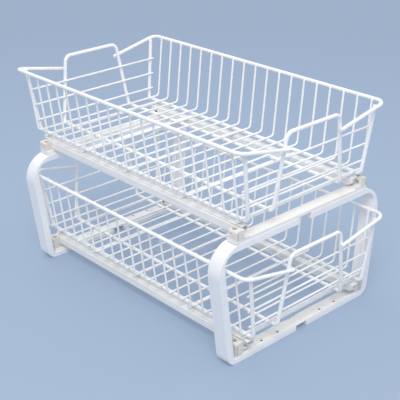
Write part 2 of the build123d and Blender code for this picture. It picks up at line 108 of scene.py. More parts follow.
SLIT_WIDTH, SLIT_DEPTH = 1.3, 6.0  # the open corner between a bracket's outer wall and its end wall
SIDE_HOLE, SIDE_HOLE_DROP = 1.0, 4.4  # a small hole in the outer wall, this far under the top
RIVET_INSET, RIVET_LENGTH = 4.8, 4.0
RIVET_RADIUS, RIVET_HEAD, RIVET_HEAD_THICK = 1.6, 2.4, 0.7
AXLE_RADIUS, AXLE_HEAD, AXLE_HEAD_THICK = 2.0, 3.2, 0.8
SCREW_RADIUS, SCREW_HEAD, SCREW_HEAD_THICK = 1.7, 3.2, 1.8
FIT = 0.1  # a fastener in its hole
ROLLER_PLAY = 0.05  # a roller on its stud
BORE_CHAMFER, DISH_DEPTH = 0.25, 0.35  # a roller's
CLEAR = 1.0  # how far a cutter stands out of what it cuts

# For each level of a cross bar: its underside, its top, where the heads of its screws sit in the arm,
# and how far the bracket screws go in from its top
BARS = {
    "foot": (FOOT_ARM_TOP, FOOT_BAR_TOP, FIT + SCREW_HEAD_THICK, FOOT_BAR_TOP - SCREW_HEAD_THICK),
    "top": (HOOP_TOP, TOP_BAR_TOP, TOP_ARM_UNDER, HOOP_TOP - TOP_ARM_UNDER),
}

# Straight sides to a turn
HEAVY_SIDES, THIN_SIDES = 18, 12
ROLLER_SIDES, HEAD_SIDES, SHANK_SIDES = 48, 28, 24

# The stage, in metres. For each lamp: where it stands, its width, its power in watts and its colour.
LAMPS = {
    "key": ((-1.25, -1.25, 2.5), 1.4, 45.0, (1.0, 0.975, 0.945)),
    "fill": ((1.9, -1.0, 1.2), 2.0, 8.5, (0.985, 0.99, 1.0)),
    "back": ((0.2, 2.0, 1.9), 2.2, 16.0, (0.96, 0.98, 1.0)),
}
LAMP_AIM = Vector((0, 0, 0.14))
WORLD_STRENGTH, WORLD_TONE = 0.70, (0.985, 0.99, 1.0)
FLOOR_HALF, FLOOR_TOP, FLOOR_BOTTOM = 14.0, -0.00002, -0.02
PAPER_REACH, BACKDROP_START = 0.45, 1.5  # between these the floor turns into the even backdrop
NEAR_BACKDROP = 0.35  # the backdrop's share close to the organizer
BACKDROP_RAYS = ("Is Camera Ray", "Is Glossy Ray", "Is Transmission Ray")  # they see the backdrop's colour

# The camera that was fitted to the photograph: degrees, millimetres, and pixels of the photograph
CAMERA_YAW, CAMERA_PITCH, CAMERA_ROLL = 41.87, -24.78, -0.88
CAMERA_PLACE = (-782.87, -885.22, 658.64)
FOCAL_LENGTH, PHOTO_WIDTH = 944.96, 400


def mm(name, description, default):
    """A length that a user may change, given here in millimetres."""
    return FloatProperty(name=name, description=description, default=default * MM, min=0, unit="LENGTH",
                         precision=5)


def colour(name, description, default):
    """A colour that a user may change, given here as light values."""
    return FloatVectorProperty(name=name, description=description, default=default, size=3, subtype="COLOR",
                               min=0, max=1)


class WireSizes(bpy.types.PropertyGroup):
    heavy: mm("Heavy wire", "Thickness of the rims, handles, floor and cross wires", 5.0)
    thin: mm("Thin wire", "Thickness of the grid and end-wall wires", 2.7)
    rim_bend: mm("Rim bend", "Bend at a rim's corners", 11.0)
    handle_bend: mm("Handle bend", "Bend at a handle's top corners", 10.0)
    floor_bend: mm("Floor bend", "Bend where floor wires turn up", 6.0)
    grid_bend: mm("Grid bend", "Bend where a grid wire turns up into a wall", 5.5)
    weld: mm("Weld", "Half width of a coated weld", 1.1)
    steps: IntProperty(name="Bend steps", description="Straight pieces in each bend", default=9, min=2)


class SheetSizes(bpy.types.PropertyGroup):
    thick: mm("Sheet", "Thickness of the folded steel", 1.2)
    fold: mm("Fold", "Inner radius of a fold", 0.5)
    edge: mm("Edge", "Rounding of a cut edge under its coat", 0.22)
    hoop_edge: mm("Hoop edge", "Rounding along a moulded hoop side", 1.0)
    block_edge: mm("Block edge", "Rounding along a moulded bracket", 0.45)
    roller_edge: mm("Roller edge", "Chamfer at a roller's rim", 0.5)


class Finishes(bpy.types.PropertyGroup):
    wire: colour("Wire coat", "Glossy coat on the wires", (0.915, 0.92, 0.925))
    slide: colour("Slide coat", "Satin coat on the slides", (0.89, 0.885, 0.87))
    sheet: colour("Bar coat", "Satin coat on the cross bars", (0.885, 0.875, 0.85))
    moulding: colour("Moulding", "Moulded hoop sides", (0.88, 0.892, 0.915))
    nylon: colour("Nylon", "Rollers and moulded brackets", (0.765, 0.735, 0.675))
    plating: colour("Plating", "Screws, rivets and studs", (0.62, 0.61, 0.58))
    floor: colour("Floor", "Ground under the organizer", (0.35, 0.445, 0.595))


class Value:
    """One output of a node. An expression on values adds the Math nodes that work it out."""

    def __init__(self, finish, socket):
        self.finish = finish
        self.socket = socket

    def math(self, operation, first, second):
        return self.finish.node("ShaderNodeMath", {"operation": operation}, {0: first, 1: second})

    def __add__(self, other):
        return self.math("ADD", self, other)

    def __sub__(self, other):
        return self.math("SUBTRACT", self, other)

    def __rsub__(self, other):
        return self.math("SUBTRACT", other, self)

    def __mul__(self, other):
        return self.math("MULTIPLY", self, other)

    __radd__ = __add__
    __rmul__ = __mul__


class Finish:
    """A material, with one method that adds any node to it."""

    def __init__(self, name):
        self.material = bpy.data.materials.new(name)
        self.material.use_nodes = True
        self.tree = self.material.node_tree
        self.surface = self.tree.nodes["Principled BSDF"]

    def feed(self, socket, value):
        if isinstance(value, Value):
            self.tree.links.new(value.socket, socket)
        else:
            socket.default_value = value

    def node(self, kind, settings, inputs, output=0):
        node = self.tree.nodes.new(kind)
        for key, value in settings.items():
            setattr(node, key, value)
        for key, value in inputs.items():
            self.feed(node.inputs[key], value)
        return Value(self, node.outputs[output])

    def place(self, stretch=(1, 1, 1)):
        """Where a point is on the object, stretched along the axes."""
        here = self.node("ShaderNodeTexCoord", {}, {}, "Object")
        return self.node("ShaderNodeMapping", {}, {"Vector": here, "Scale": stretch})

    def noise(self, scale, detail=2.0, stretch=(1, 1, 1)):
        inputs = {"Vector": self.place(stretch), "Scale": scale, "Detail": detail}
        return self.node("ShaderNodeTexNoise", {}, inputs)

    def blend(self, share, first, second):
        colours = {6: (*first, 1) if isinstance(first, tuple) else first,
                   7: (*second, 1) if isinstance(second, tuple) else second}
        return self.node("ShaderNodeMix", {"data_type": "RGBA"}, {0: share, **colours}, 2)

    def band(self, value, low, high):
        """0 below low, 1 above high."""
        return self.node("ShaderNodeMapRange", {}, {"Value": value, "From Min": low, "From Max": high})

    def dress(self, base, roughness, grain, strength, depth, **uniform):
        """Sets what varies over the surface, then the numbers that don't."""
        bump = self.node("ShaderNodeBump", {}, {"Height": grain, "Strength": strength, "Distance": depth})
        for key, value in {"Base Color": base, "Roughness": roughness, "Normal": bump}.items():
            self.feed(self.surface.inputs[key], value)
        for key, value in uniform.items():
            self.surface.inputs[key.replace("_", " ")].default_value = value
        return self.material


def shade(tint, amount, warmth=0.0):
    """A darker, warmer version of a colour."""
    return tuple(c * amount * (1 + warmth * k) for c, k in zip(tint, (1, 0, -1)))


def coated_wire(tint):
    """Glossy dipped coat: faint orange peel, and thicker, slightly warm patches."""
    f = Finish("coated_wire")
    patches = f.band(f.noise(26, 3), 0.4, 0.75)
    base = f.blend(patches, tint, shade(tint, 0.93, 0.02))
    return f.dress(base, roughness=0.16 + f.noise(140) * 0.2, grain=f.noise(1300, 1), strength=0.12,
                   depth=0.0002, Coat_Weight=0.3, Coat_Roughness=0.08)


def slide_coat(tint):
    """Satin coat with faint rub marks along the way that the slides move."""
    f = Finish("slide_coat")
    marks = f.band(f.noise(260, 3, (1, 0.02, 1)), 0.55, 0.8)
    cloud = f.band(f.noise(30), 0.35, 0.75)
    base = f.blend(marks * 0.6, f.blend(cloud, tint, shade(tint, 0.94, 0.015)), shade(tint, 0.78, 0.01))
    return f.dress(base, roughness=0.34 - marks * 0.1, grain=f.noise(900, 2) + marks * 0.4, strength=0.18,
                   depth=0.00015)


def sheet_coat(tint):
    """Satin powder coat with a fine, even pebble."""
    f = Finish("sheet_coat")
    cloud = f.band(f.noise(24, 3), 0.35, 0.75)
    base = f.blend(cloud, tint, shade(tint, 0.93, 0.02))
    return f.dress(base, roughness=0.3 + f.noise(180) * 0.16, grain=f.noise(1100, 2), strength=0.2,
                   depth=0.0002, Coat_Weight=0.15, Coat_Roughness=0.2)


def moulding_plastic(tint):
    """Moulded plastic: smooth, with soft flow clouds and a very fine texture."""
    f = Finish("moulding_plastic")
    flow = f.band(f.noise(9, 4, (1, 1, 0.35)), 0.35, 0.7)
    base = f.blend(flow, tint, shade(tint, 0.95, 0.01))
    return f.dress(base, roughness=0.26 + f.noise(60, 3) * 0.16, grain=f.noise(2200, 1), strength=0.1,
                   depth=0.0001, Coat_Weight=0.1, Coat_Roughness=0.15)


def roller_nylon(tint):
    """Natural nylon with turning marks and grease-darkened patches."""
    f = Finish("roller_nylon")
    grease = f.band(f.noise(170, 3), 0.45, 0.85)
    base = f.blend(grease, tint, shade(tint, 0.88, 0.03))
    return f.dress(base, roughness=0.46 - grease * 0.14, grain=f.noise(1500, 2, (8, 1, 1)), strength=0.25,
                   depth=0.0001, Subsurface_Weight=0.08, Subsurface_Scale=0.002)


def zinc_plating(tint):
    """Bright zinc with a faint grain and duller patches."""
    f = Finish("zinc_plating")
    dull = f.band(f.noise(350, 3), 0.4, 0.75)
    base = f.blend(dull, tint, shade(tint, 0.75, 0.03))
    return f.dress(base, roughness=0.24 + dull * 0.2, grain=f.noise(2500, 1), strength=0.15,
                   depth=0.0001, Metallic=1.0)


def floor_paper(tint):
    """Plain matt studio paper that runs out into an even backdrop of its own colour."""
    f = Finish("floor_paper")
    base = f.blend(f.noise(3, 2), tint, shade(tint, 0.985))
    f.dress(base, roughness=0.85 + f.noise(40) * 0.1, grain=f.noise(900, 1), strength=0.05, depth=0.0001,
            Specular_IOR_Level=0.2)
    away = f.node("ShaderNodeVectorMath", {"operation": "LENGTH"}, {0: f.place()}, 1)
    share = f.node("ShaderNodeMapRange", {}, {"Value": away, "From Min": PAPER_REACH,
                                              "From Max": BACKDROP_START, "To Min": NEAR_BACKDROP})
    looks = [f.node("ShaderNodeLightPath", {}, {}, ray) for ray in BACKDROP_RAYS]
    backdrop = f.node("ShaderNodeEmission", {}, {"Color": (*tint, 1)})
    paper = Value(f, f.surface.outputs[0])
    mixed = f.node("ShaderNodeMixShader", {}, {0: share * sum(looks[1:], looks[0]), 1: paper, 2: backdrop})
    f.tree.links.new(mixed.socket, f.tree.nodes["Material Output"].inputs["Surface"])
    return f.material


MAKERS = {
    "coated_wire": (coated_wire, "wire"),
    "slide_steel": (slide_coat, "slide"),
    "folded_steel": (sheet_coat, "sheet"),
    "moulding": (moulding_plastic, "moulding"),
    "nylon": (roller_nylon, "nylon"),
    "fasteners": (zinc_plating, "plating"),
}
made = {}


def finish_for(slot):
    """The material for a slot of the record, made once."""
    if slot not in made:
        maker, tint = MAKERS[slot]
        made[slot] = maker(tuple(getattr(bpy.context.scene.organizer_finishes, tint)))
    return made[slot]


def circle(sides):
    """Even places round a circle of radius 1."""
    return [(cos(2 * pi * k / sides), sin(2 * pi * k / sides)) for k in range(sides)]


def threaded(spot, along, axis):
    """The point with this place along an axis and these other two coordinates, in their order."""
    place = "XYZ".index(axis)
    return Vector((*spot[:place], along, *spot[place:]))


class Shape:
    """Points and faces of a piece, in millimetres."""

    def __init__(self):
        self.points = []
        self.faces = []

    def skin(self, rings, looped=False):
        """A surface through closed rings of points, capped unless the last ring meets the first."""
        start, count = len(self.points), len(rings[0])
        self.points += [point for ring in rings for point in ring]
        for i in range(len(rings) - (not looped)):
            a, b = start + i * count, start + (i + 1) % len(rings) * count
            self.faces += [(a + k, a + (k + 1) % count, b + (k + 1) % count, b + k) for k in range(count)]
        if not looped:
            end = start + (len(rings) - 1) * count
            self.faces += [tuple(range(start, start + count)), tuple(range(end, end + count))]
        return self

    def tube(self, line, thickness, sides, looped=False):
        """A round wire along a line, with its cut ends rounded by the coat."""
        radius = thickness / 2
        ways = [(b - a).normalized() for a, b in zip(line, line[1:])]
        if looped:
            ways.append((line[0] - line[-1]).normalized())
            heads = [(ways[i - 1] + ways[i]).normalized() for i in range(len(line))]
        else:
            heads = [ways[0]] + [(a + b).normalized() for a, b in zip(ways, ways[1:])] + [ways[-1]]
        side = heads[0].orthogonal().normalized()
        rings = []
        for point, head in zip(line, heads):
            side = (side - head * side.dot(head)).normalized()
            over = head.cross(side)
            rings.append((point, head, side, over, 1.0, 0.0))
        if not looped:
            reach = 0.55 * radius  # how long a rounded end is
            ends = [(share, reach * (1 - share) ** 2) for share in (0.35, 0.7, 0.92)] + [(1.0, reach)]
            opening = [(*rings[0][:4], share, shift) for share, shift in ends]
            closing = [(*rings[-1][:4], share, -shift) for share, shift in reversed(ends)]
            rings = opening + rings[1:-1] + closing
        spokes = circle(sides)
        return self.skin([[point + head * shift + (side * a + over * b) * radius * share for a, b in spokes]
                          for point, head, side, over, share, shift in rings], looped)

    def lathe(self, profile, centre, axis, sides, looped=False):
        """A turned form from (along, radius) pairs about an axis through a point."""
        c, spokes = Vector(centre), circle(sides)
        return self.skin([[c + threaded((radius * a, radius * b), along, axis) for a, b in spokes]
                          for along, radius in profile], looped)

    def prism(self, outline, stations, axis):
        """An outline carried along an axis through stations. It lies in the plane of the other two axes."""
        return self.skin([[threaded(spot, station, axis) for spot in outline] for station in stations])

    def block(self, low, high):
        """A plain box, for cutting and for small tabs."""
        (x0, y0, z0), (x1, y1, z1) = low, high
        return self.prism([(x0, z0), (x1, z0), (x1, z1), (x0, z1)], (y0, y1), "Y")

    def bead(self, centre, size, sides=8):
        """A coated weld: a small rounded lump between two wires."""
        c, spokes = Vector(centre), circle(sides)
        rings = []
        for turn in (-80, -40, 0, 40, 80):
            out, up = cos(radians(turn)), size[2] * sin(radians(turn))
            rings.append([c + Vector((size[0] * out * a, size[1] * out * b, up)) for a, b in spokes])
        return self.skin(rings)

    def merged(self, other, shift=(0, 0, 0)):
        """This shape with a shifted copy of another added."""
        start, move = len(self.points), Vector(shift)
        self.points += [point + move for point in other.points]
        self.faces += [tuple(i + start for i in face) for face in other.faces]
        return self

    def placed(self, side=1, shift=(0, 0, 0)):
        """A copy on one side of the middle, moved."""
        copy = Shape()
        copy.points = [Vector((p.x * side + shift[0], p.y + shift[1], p.z + shift[2])) for p in self.points]
        copy.faces = list(self.faces)
        return copy


def mesh_object(name, shape):
    """An object in metres from a shape in millimetres, with its faces turned outwards."""
    mesh = bpy.data.meshes.new(name)
    mesh.from_pydata([point * MM for point in shape.points], [], shape.faces)
    form = bmesh.new()
    form.from_mesh(mesh)
    bmesh.ops.recalc_face_normals(form, faces=form.faces)
    form.to_mesh(mesh)
    form.free()
    item = bpy.data.objects.new(name, mesh)
    bpy.context.scene.collection.objects.link(item)
    return item


def work_in(item):
    """Works an object's modifiers into its mesh."""
    bpy.context.view_layer.update()
    depsgraph = bpy.context.evaluated_depsgraph_get()
    mesh = bpy.data.meshes.new_from_object(item.evaluated_get(depsgraph))
    item.modifiers.clear()
    item.data = mesh


def cut_away(item, cuts):
    """Takes the closed forms of a shape out of an object."""
    knife = mesh_object("knife", cuts)
    cut = item.modifiers.new("Holes", "BOOLEAN")
    cut.operation, cut.solver, cut.object, cut.use_self = "DIFFERENCE", "EXACT", knife, True
    work_in(item)
    bpy.data.objects.remove(knife)


def round_edges(item, width, segments):
    """Rounds an object's corners, and leaves shallow ones as they are."""
    rounding = item.modifiers.new("Edges", "BEVEL")
    rounding.width, rounding.segments, rounding.limit_method = width, segments, "ANGLE"
    rounding.angle_limit = radians(40)
    rounding.use_clamp_overlap = True
    work_in(item)


def add_piece(name, shape, slot, nodes, edge=0.0, cuts=None, smooth=35, segments=2, cut_last=False):
    """Makes a shown piece that stands for CAD nodes and moves with their body.

    Its corners are rounded by edge, and its flats stay flat to look at. Cuts come before the rounding, or
    last where they leave strips too narrow to round."""
    item = mesh_object(name, shape)
    if cuts and not cut_last:
        cut_away(item, cuts)
    if edge:
        round_edges(item, edge, segments)
    if cuts and cut_last:
        cut_away(item, cuts)
    item.data.shade_smooth()
    item.data.set_sharp_from_angle(angle=radians(smooth))
    if edge:
        item.modifiers.new("Flats", "WEIGHTED_NORMAL").keep_sharp = True
        work_in(item)
    item.data.materials.clear()
    item.data.materials.append(finish_for(slot))
    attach(item, frame["nodes"][nodes[0]]["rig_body"])
    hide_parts(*nodes)


def bend(before, corner, after, radius, steps):
    """Points on the arc that rounds a corner between two straight runs."""
    into, out = (before - corner).normalized(), (after - corner).normalized()
    half = into.angle(out) / 2
    centre = corner + (into + out).normalized() * (radius / sin(half))
    toward, across = (corner - centre).normalized(), (out - into).normalized()
    turn = pi / 2 - half
    return [centre + toward * (radius * cos(a)) + across * (radius * sin(a))
            for a in (turn * (2 * i / steps - 1) for i in range(steps + 1))]


def wire_line(points, radii, steps, looped=False):
    """The middle line of a bent wire. A looped one has a radius for each point."""
    route = [Vector(point) for point in points]
    if looped:
        count = len(route)
        return [p for i in range(count)
                for p in bend(route[i - 1], route[i], route[(i + 1) % count], radii[i], steps)]
    line = [route[0]]
    for i, radius in enumerate(radii, 1):
        line += bend(route[i - 1], route[i], route[i + 1], radius, steps)
    return line + [route[-1]]


def outline_bends(points, radii, steps=8):
    """A closed flat outline with some corners rounded."""
    route = [Vector((a, b, 0)) for a, b in points]
    line = []
    for i, corner in enumerate(route):
        if radii.get(i):
            line += bend(route[i - 1], corner, route[(i + 1) % len(route)], radii[i], steps)
        else:
            line.append(corner)
    return [(p.x, p.y) for p in line]


def folded(points, thick, fold, steps=5):
    """The section of folded sheet. The points are on its outside, right of the way along them."""
    route = [Vector((a, b, 0)) for a, b in points]
    inner = []
    for i, point in enumerate(route):
        ways = [(route[j + 1] - route[j]).normalized() for j in (i - 1, i) if 0 <= j < len(route) - 1]
        lefts = [Vector((-w.y, w.x, 0)) for w in ways]
        total = sum(lefts, Vector())
        inner.append(point + total * (thick / total.dot(lefts[0])))
    outside, inside = [route[0]], [inner[0]]
    for i in range(1, len(route) - 1):
        outside += bend(route[i - 1], route[i], route[i + 1], fold + thick, steps)
        inside += bend(inner[i - 1], inner[i], inner[i + 1], fold, steps)
    return [(p.x, p.y) for p in outside + [route[-1]] + [inner[-1]] + inside[::-1]]


def tier_place(tier):
    """How far a basket stands forward or back, and its floor's height, in millimetres."""
    low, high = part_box(f"{tier}_runner_right")
    return low.y / MM - RUNNER_FRONT, high.z / MM - RUNNER_TOP


def hoop_faces():
    """The front face of the front hoop and the rear face of the rear one, in millimetres."""
    return {"front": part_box("front_side_right")[0].y / MM, "rear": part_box("rear_side_right")[1].y / MM}


def inset(end, depth):
    """A place this far inside the frame's front or rear face."""
    return hoop_faces()[end] - ENDS[end] * depth


def span(end, near, far):
    """From front to rear, the two places that are this far inside the frame's front or rear face."""
    return sorted((inset(end, near), inset(end, far)))


class Basket:
    """The wires of one basket, from the same sizes as the solids."""

    # Millimetres from the middle of the basket, and up from the middle of its floor wires
    RIM_HALF, RIM_HEIGHT, RIM_END = 124.8, 92.2, 76.4
    FOOT, LEAN = 210.0, 0.07
    HANDLE_HEIGHT, HANDLE_TOP, HANDLE_FOOT = 95.0, 45.0, 59.5
    CORNER_TOP, CORNER_FOOT = 112.5, 100.0
    GRID_FOOT, GRID_PITCH, GRID_COUNT = 110.6, 22.45, 19
    GRID_SHIFT = {"upper": -2.5, "lower": 2.5}
    END_HEIGHTS, END_OVERHANG = (16.1, 38.7, 61.3), 3.2
    CROSS_PLACES, CROSS_HALF = (-194.0, -97.0, 15.0, 110.0, 196.0), 103.0
    RIM_OVERHANG = 4.0
    CORNER_WELD_DROP, SIDE_WELD_DROP = 0.6, 0.4  # under the middle of the rim's wire

    def __init__(self, tier):
        sizes = bpy.context.scene.organizer_wires
        shift, floor = tier_place(tier)
        self.tier, self.place, self.sizes = tier, (0, shift, floor), sizes
        self.heavy, self.thin = sizes.heavy / MM, sizes.thin / MM

    def wall(self, height):
        """How far an end wall stands from the middle at a height."""
        return self.FOOT + self.LEAN * height

    def handle_half(self, height):
        """Half the width over a handle's legs at a height."""
        return self.HANDLE_FOOT + (self.HANDLE_TOP - self.HANDLE_FOOT) * height / self.HANDLE_HEIGHT

    def rim_slope(self):
        """How steeply the rim falls from a corner to a handle."""
        return (self.RIM_HEIGHT - self.RIM_END) / (self.RIM_HALF - self.handle_half(self.RIM_END))

    def corner_height(self):
        """Where an outer floor wire ends, at the rim."""
        return self.RIM_HEIGHT - self.rim_slope() * (self.RIM_HALF - self.CORNER_TOP)

    def beside(self):
        """From the middle of a heavy wire to the middle of a thin one that lies on it."""
        return self.heavy / 2 + TOUCH + self.thin / 2

    def weld(self, shape, place, across, along, up):
        """Adds a coated weld. Its half sizes are given as shares of the usual one."""
        size = self.sizes.weld / MM
        shape.bead(place, (across * size, along * size, up * size))

    def coat(self, name, shape, side=1):
        """Makes one of the basket's pieces, which stands for the node of the same name."""
        name = f"{self.tier}_{name}"
        add_piece(f"coated_{name}", shape.placed(side, self.place), "coated_wire", [name])

    def rim(self):
        proud = self.heavy + TOUCH
        reach, end = self.wall(self.RIM_HEIGHT) + proud, self.wall(self.RIM_END) + proud
        x = self.handle_half(self.RIM_END) - self.RIM_OVERHANG
        z = self.RIM_END - self.rim_slope() * self.RIM_OVERHANG
        route = [(x, -end, z), (self.RIM_HALF, -reach, self.RIM_HEIGHT),
                 (self.RIM_HALF, reach, self.RIM_HEIGHT), (x, end, z)]
        radius = self.sizes.rim_bend / MM
        shape = Shape().tube(wire_line(route, [radius, radius], self.sizes.steps), self.heavy, HEAVY_SIDES)
        top = self.corner_height()
        for side in ENDS.values():
            y = side * (self.wall(self.RIM_END) + proud / 2)
            self.weld(shape, (self.handle_half(self.RIM_END), y, self.RIM_END), 1, 1, 1.6)
            y = side * (self.wall(top) + proud / 2)
            self.weld(shape, (self.CORNER_TOP, y, top - self.CORNER_WELD_DROP), 1.4, 1, 1)
        return shape

    def handle_loop(self):
        top, foot = self.wall(self.HANDLE_HEIGHT), self.wall(0)
        half = [(self.HANDLE_TOP, -top, self.HANDLE_HEIGHT), (self.HANDLE_FOOT, -foot, 0),
                (self.HANDLE_FOOT, foot, 0), (self.HANDLE_TOP, top, self.HANDLE_HEIGHT)]
        route = half + [(-x, y, z) for x, y, z in reversed(half)]
        high, low = self.sizes.handle_bend / MM, self.sizes.floor_bend / MM
        radii = [high, low, low, high] * 2
        return Shape().tube(wire_line(route, radii, self.sizes.steps, True), self.heavy, HEAVY_SIDES, True)

    def floor_wire(self):
        top = self.corner_height()
        route = [(self.CORNER_TOP, -self.wall(top), top), (self.CORNER_FOOT, -self.wall(0), 0),
                 (self.CORNER_FOOT, self.wall(0), 0), (self.CORNER_TOP, self.wall(top), top)]
        radius = self.sizes.floor_bend / MM
        return Shape().tube(wire_line(route, [radius, radius], self.sizes.steps), self.heavy, HEAVY_SIDES)

    def cross_wires(self):
        shape = Shape()
        z = -self.heavy - TOUCH
        for y in self.CROSS_PLACES:
            line = [Vector((-self.CROSS_HALF, y, z)), Vector((self.CROSS_HALF, y, z))]
            shape.tube(line, self.heavy, HEAVY_SIDES)
            for x in (self.CORNER_FOOT, self.HANDLE_FOOT):
                for side in (-1, 1):
                    self.weld(shape, (side * x, y, z / 2), 1.6, 1.6, 0.7)
        return shape

    def grid(self):
        top = self.RIM_HALF - self.beside()
        half = [(top, 0, self.RIM_HEIGHT + TOUCH), (self.GRID_FOOT, 0, self.beside())]
        route = half + [(-x, y, z) for x, y, z in reversed(half)]
        radius = self.sizes.grid_bend / MM
        wire = Shape().tube(wire_line(route, [radius, radius], self.sizes.steps), self.thin, THIN_SIDES)
        for side in (-1, 1):
            place = (side * (top + self.thin / 2), 0, self.RIM_HEIGHT - self.SIDE_WELD_DROP)
            self.weld(wire, place, 0.5, 1, 1.5)
            for x in (self.CORNER_FOOT, self.HANDLE_FOOT):
                self.weld(wire, (side * x, 0, self.heavy / 2), 1.2, 1.2, 0.5)
        shape = Shape()
        for i in range(self.GRID_COUNT):
            step = (i - (self.GRID_COUNT - 1) / 2) * self.GRID_PITCH
            shape.merged(wire, (0, self.GRID_SHIFT[self.tier] + step, 0))
        return shape

    def end_wires(self, side):
        """The level wires inside an end wall. The side is the end's, -1 or 1."""
        shape = Shape()
        for height in self.END_HEIGHTS:
            corner = self.CORNER_FOOT + (self.CORNER_TOP - self.CORNER_FOOT) * height / self.RIM_HEIGHT
            half = corner + self.END_OVERHANG
            y = side * (self.wall(height) - self.beside())
            shape.tube([Vector((-half, y, height)), Vector((half, y, height))], self.thin, THIN_SIDES)
            for x in (corner, self.handle_half(height)):
                for hand in (-1, 1):
                    self.weld(shape, (hand * x, y + side * self.thin / 2, height), 1.2, 0.5, 1.2)
        return shape


def bore(centre, radius, reach, axis="X", sides=20):
    """A round cutter through a sheet."""
    return Shape().lathe([(-reach, radius), (reach, radius)], centre, axis, sides)


def runner_shape(sheet):
    """A basket's half of a slide: a folded angle with a nose that guides it in."""
    section = folded([(RUNNER_OUTER, RUNNER_TOP), (RUNNER_INNER, RUNNER_TOP), (RUNNER_INNER, RUNNER_FOOT)],
                     sheet.thick / MM, sheet.fold / MM)
    rings = []
    for along, lifted in ((0.0, RUNNER_NOSE), (0.55, 2.6), (1.0, 0.8), (1.6, 0.0)):
        y, lowest = RUNNER_FRONT + along * RUNNER_NOSE, RUNNER_FOOT + lifted
        rings.append([Vector((a, y, max(b, lowest))) for a, b in section])
    rings.append([Vector((a, RUNNER_REAR, b)) for a, b in section])
    return Shape().skin(rings)


def rail_shape(sheet, front, rear):
    """The frame's half of a slide: a folded channel with a stop at each end of the basket's way."""
    thick = sheet.thick / MM
    section = folded([(RAIL_FLOOR, RAIL_BOTTOM), (RAIL_OUTER, RAIL_BOTTOM), (RAIL_OUTER, RAIL_TOP),
                      (RAIL_LIP, RAIL_TOP)], thick, sheet.fold / MM)
    shape = Shape().prism(section, (front, rear), "Y")
    sunk = thick / 4  # how far a stop goes into the sheet that it is folded from
    inside, under = RAIL_OUTER - thick + sunk, RAIL_TOP - sunk
    shape.block((RAIL_FLOOR + sunk, rear - thick, RAIL_BOTTOM + thick - sunk),
                (inside, rear - TOUCH, under))
    out = front + OUT_STOP
    shape.block((RAIL_LIP + sunk, out - thick, RAIL_TOP - OUT_STOP_DEPTH), (inside, out, under))
    return shape


def roller_profile(half, radius, edge):
    """A roller's turned section: chamfered tread, a shallow dish in each face and the bore."""
    hole, floor = AXLE_RADIUS + ROLLER_PLAY, half - DISH_DEPTH
    hub, dish_in, dish_out, tyre = (hole + (radius - hole) * share for share in (0.3, 0.38, 0.72, 0.8))
    right = [(half, hole + BORE_CHAMFER), (half, hub), (floor, dish_in), (floor, dish_out), (half, tyre),
             (half, radius - edge), (half - edge * 0.3, radius - edge * 0.3), (half - edge, radius)]
    left = [(-a, r) for a, r in reversed(right)]
    return right + left + [(-half + BORE_CHAMFER, hole), (half - BORE_CHAMFER, hole)]


def stud(centre, back, thick, half):
    """A roller's stud, riveted through a sheet whose far face is at back: a collar and a domed head."""
    way = 1 if centre.x > back else -1
    near, far = (centre.x + sign * way * (half + TOUCH) for sign in (-1, 1))
    web, r, h = back + way * thick, AXLE_RADIUS, AXLE_HEAD
    dome = [(far + way * AXLE_HEAD_THICK * rise, h * share)
            for rise, share in ((0, 1), (0.4, 0.98), (0.8, 0.8), (1, 0.4), (1, 0.06))]
    profile = [(back, h * 0.06), (back, r), (web, r), (web, h), (near, h), (near, r), (far, r)] + dome
    return Shape().lathe([(x - centre.x, radius) for x, radius in profile], centre, "X", HEAD_SIDES)


class SceneOperator:
    """What every operator here has in common."""

    bl_options = {"REGISTER", "UNDO"}


class ORGANIZER_OT_heavy_wires(SceneOperator, bpy.types.Operator):
    """Bend the rims, handle loops, floor wires and cross wires of both baskets"""

    bl_idname = "organizer.heavy_wires"
    bl_label = "Heavy wires"

    def execute(self, context):
        for basket in map(Basket, TIERS):
            for hand, side in HANDS.items():
                basket.coat(f"rim_{hand}", basket.rim(), side)
                basket.coat(f"floor_wire_{hand}", basket.floor_wire(), side)
            basket.coat("handle_loop", basket.handle_loop())
            basket.coat("cross_wires", basket.cross_wires())
        return {"FINISHED"}


class ORGANIZER_OT_grid_wires(SceneOperator, bpy.types.Operator):
    """Bend and weld the thin wires of both baskets"""

    bl_idname = "organizer.grid_wires"
    bl_label = "Grid wires"

    def execute(self, context):
        for basket in map(Basket, TIERS):
            basket.coat("grid_wires", basket.grid())
            for end, side in ENDS.items():
                basket.coat(f"end_wires_{end}", basket.end_wires(side))
        return {"FINISHED"}


